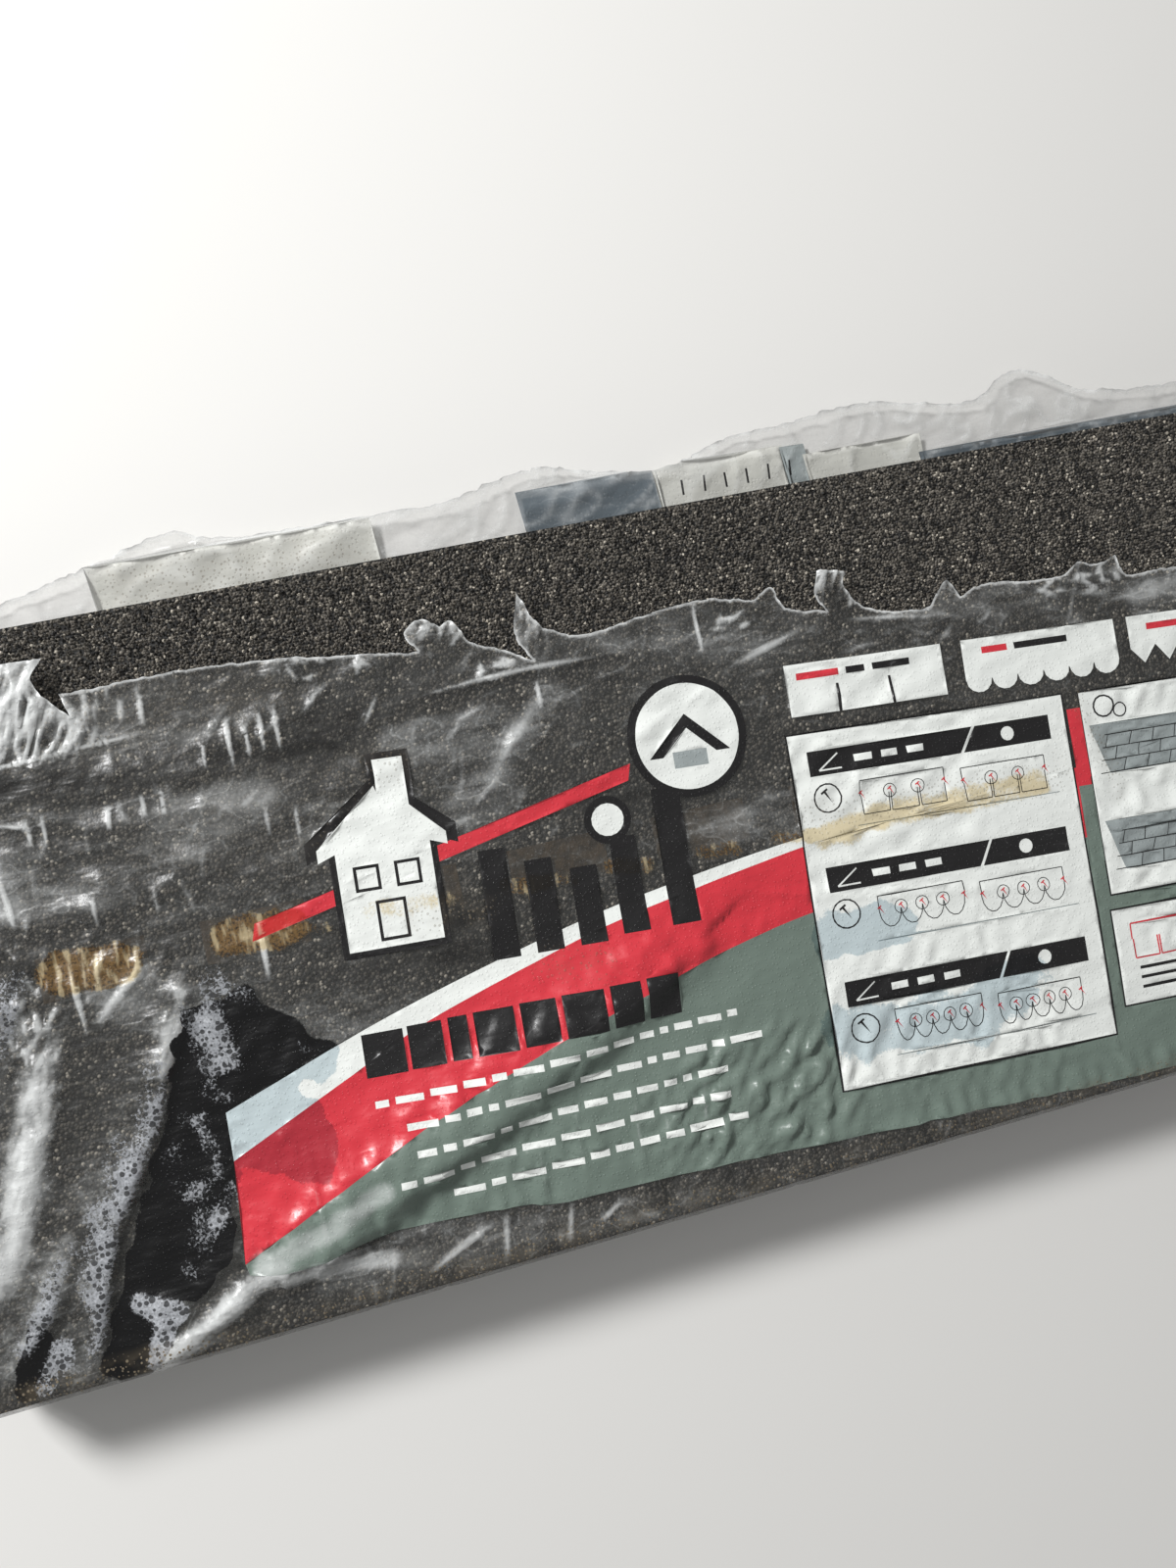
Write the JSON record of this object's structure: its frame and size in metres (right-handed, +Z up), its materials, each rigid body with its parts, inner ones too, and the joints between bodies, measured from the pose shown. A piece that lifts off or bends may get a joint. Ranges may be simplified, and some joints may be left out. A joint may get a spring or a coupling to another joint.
{
  "type": "asphalt shingle bundle",
  "caption": "Flat stack of three-tab bitumen roof shingles in clear printed shrink film, the film torn open along one long side, lying flat.",
  "frame": {"origin": "On the ground under the middle of the stack, at the underside of the film", "axes": "+X along the strips' length, +Y across the strips towards the torn side, +Z up through the stack"},
  "size_m": [1.0276, 0.3939, 0.0634],
  "materials": {
    "granules": "coarse black mineral granules in bitumen",
    "film": "clear creased polyethylene film with coloured print"
  },
  "bodies": {
    "root": {"shingle_01": "granules", "shingle_02": "granules", "shingle_03": "granules", "shingle_04": "granules", "shingle_05": "granules", "shingle_06": "granules", "shingle_07": "granules", "shingle_08": "granules", "shingle_09": "granules", "shingle_10": "granules", "shingle_11": "granules", "shingle_12": "granules", "shingle_13": "granules", "shingle_14": "granules", "shingle_15": "granules", "shingle_16": "granules", "shingle_17": "granules", "shingle_18": "granules", "shingle_19": "granules", "shingle_20": "granules", "shingle_21": "granules", "film_wrap": "film"}
  },
  "joints": []
}
